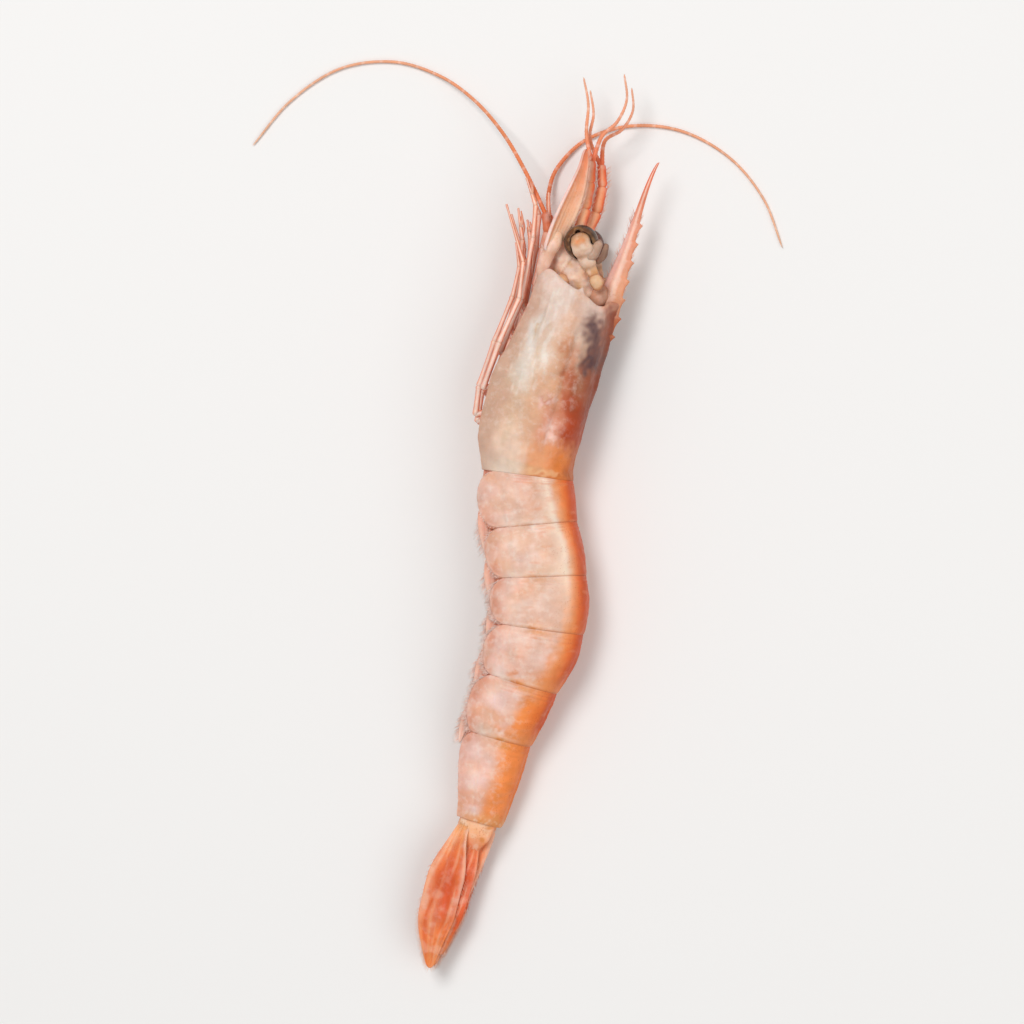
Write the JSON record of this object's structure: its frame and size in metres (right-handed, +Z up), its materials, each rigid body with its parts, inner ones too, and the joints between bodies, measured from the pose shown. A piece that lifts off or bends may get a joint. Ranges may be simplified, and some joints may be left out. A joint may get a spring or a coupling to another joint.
{
  "type": "whole raw shrimp",
  "caption": "Whole raw shrimp with head, toothed rostrum, feelers, legs, plated abdomen and tail fan, lying on its side as it does on a tray of ice or a board.",
  "frame": {"origin": "middle of the footprint, on the surface that the shrimp lies on", "axes": "+Y towards the head, along the longest extent; +X towards the back; +Z up, out of the animal's left side"},
  "size_m": [0.091, 0.154, 0.0148],
  "materials": {
    "carapace": "wet thin shell over the head, translucent cream with a purple grey patch and an orange back",
    "shell": "wet thin shell plates, translucent pale pink flecked with white, orange along the back",
    "cornea": "smooth black eye with a soft shine",
    "flesh": "moist tan and orange flesh of the head and eye stalks",
    "scale": "thin pink blade with a translucent edge",
    "antenna": "ringed orange red feelers, satin",
    "limb": "thin translucent pink legs, wet",
    "swimmeret": "soft pale pink paddles with a fringe of fine hairs",
    "fan": "thin orange red tail blades, darker along the midribs, wet"
  },
  "bodies": {
    "root": {"abdomen_1": "shell", "abdomen_2": "shell", "abdomen_3": "shell", "abdomen_4": "shell", "abdomen_5": "shell", "abdomen_6": "shell", "antenna_left": "antenna", "antenna_right": "antenna", "antennal_scale_left": "scale", "antennal_scale_right": "scale", "antennule_left": "antenna", "antennule_right": "antenna", "carapace": "carapace", "eye_left": "cornea", "eye_right": "cornea", "eyestalk_left": "flesh", "eyestalk_right": "flesh", "head": "flesh", "leg_1_left": "limb", "leg_1_right": "limb", "leg_2_left": "limb", "leg_2_right": "limb", "leg_3_left": "limb", "leg_3_right": "limb", "leg_4_left": "limb", "leg_4_right": "limb", "leg_5_left": "limb", "leg_5_right": "limb", "maxilliped_left": "limb", "maxilliped_right": "limb", "swimmeret_1_left": "swimmeret", "swimmeret_1_right": "swimmeret", "swimmeret_2_left": "swimmeret", "swimmeret_2_right": "swimmeret", "swimmeret_3_left": "swimmeret", "swimmeret_3_right": "swimmeret", "swimmeret_4_left": "swimmeret", "swimmeret_4_right": "swimmeret", "swimmeret_5_left": "swimmeret", "swimmeret_5_right": "swimmeret", "telson": "fan", "uropod_inner_left": "fan", "uropod_inner_right": "fan", "uropod_outer_left": "fan", "uropod_outer_right": "fan"}
  },
  "joints": []
}
